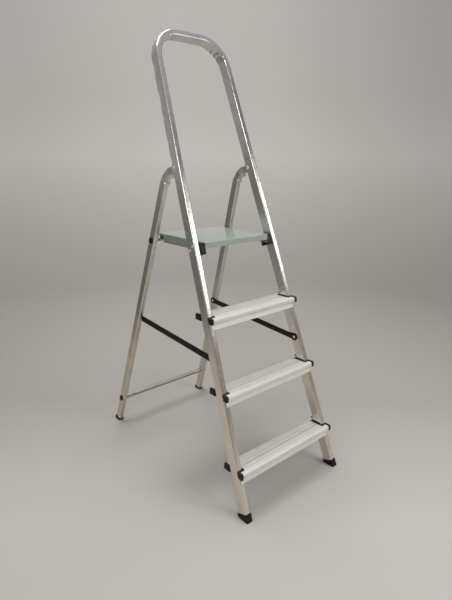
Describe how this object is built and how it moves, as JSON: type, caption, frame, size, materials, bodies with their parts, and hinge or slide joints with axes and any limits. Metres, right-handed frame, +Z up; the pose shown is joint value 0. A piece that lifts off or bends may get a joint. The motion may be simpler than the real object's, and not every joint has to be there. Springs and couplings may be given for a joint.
{
  "type": "folding step ladder",
  "caption": "Folding aluminium platform stepladder: bent tube frame with hand hoop, grooved treads, painted flip-up platform, bent rear legs and safety straps.",
  "frame": {"origin": "centre of the bounding box's bottom face: on the floor, midway between the feet", "axes": "+X across the ladder, +Y from the front feet to the rear feet, +Z up"},
  "size_m": [0.4554, 0.8291, 1.4778],
  "materials": {
    "frame_aluminium": "mill-finished rounded rectangular tube, bright with fine drawing lines",
    "tread_aluminium": "satin mill-finished extrusion with lengthwise grooves",
    "bar_aluminium": "satin round tube",
    "rivet_metal": "bright domed heads",
    "platform_paint": "glossy grey-green powder coat",
    "black_plastic": "black moulded plastic",
    "foot_rubber": "black non-slip moulding",
    "strap_plastic": "dark flexible plastic band"
  },
  "bodies": {
    "front_frame": {"bracket_rivets": "rivet_metal", "front_foot_left": "foot_rubber", "front_foot_right": "foot_rubber", "front_frame_tube": "frame_aluminium", "pivot_rivet_left": "rivet_metal", "pivot_rivet_right": "rivet_metal", "pivot_washers": "black_plastic", "platform_bracket_left": "black_plastic", "platform_bracket_right": "black_plastic", "safety_strap_left": "strap_plastic", "safety_strap_right": "strap_plastic", "strap_rivets_front": "rivet_metal", "tread_cap_lower_left": "black_plastic", "tread_cap_lower_right": "black_plastic", "tread_cap_middle_left": "black_plastic", "tread_cap_middle_right": "black_plastic", "tread_cap_upper_left": "black_plastic", "tread_cap_upper_right": "black_plastic", "tread_lower": "tread_aluminium", "tread_middle": "tread_aluminium", "tread_rivets": "rivet_metal", "tread_upper": "tread_aluminium"},
    "rear_frame": {"crossbar_cap_left": "black_plastic", "crossbar_cap_right": "black_plastic", "lower_crossbar": "bar_aluminium", "platform_rest_rod": "bar_aluminium", "rear_foot_left": "foot_rubber", "rear_foot_right": "foot_rubber", "rear_leg_left": "frame_aluminium", "rear_leg_right": "frame_aluminium", "rest_rod_cap_left": "black_plastic", "rest_rod_cap_right": "black_plastic", "strap_rivets_rear": "rivet_metal"},
    "platform": {"hook_rivets": "rivet_metal", "platform_hinge_pin_left": "rivet_metal", "platform_hinge_pin_right": "rivet_metal", "platform_hook_left": "black_plastic", "platform_hook_right": "black_plastic", "platform_pan": "platform_paint"}
  },
  "joints": [
    {"name": "rear_frame_fold", "type": "hinge", "parent": "front_frame", "child": "rear_frame", "pos_m": [0, 0.00743, 1.045], "axis": [-1, 0, 0], "range_deg": [0, 37], "deforming": ["safety_strap_left", "safety_strap_right"]},
    {"name": "platform_flip", "type": "hinge", "parent": "front_frame", "child": "platform", "pos_m": [0, -0.08774, 0.803], "axis": [1, 0, 0], "range_deg": [0, 69.5]}
  ],
  "couplings": [
    {"joint": "platform_flip", "follows": "rear_frame_fold", "ratio": 1.878}
  ]
}
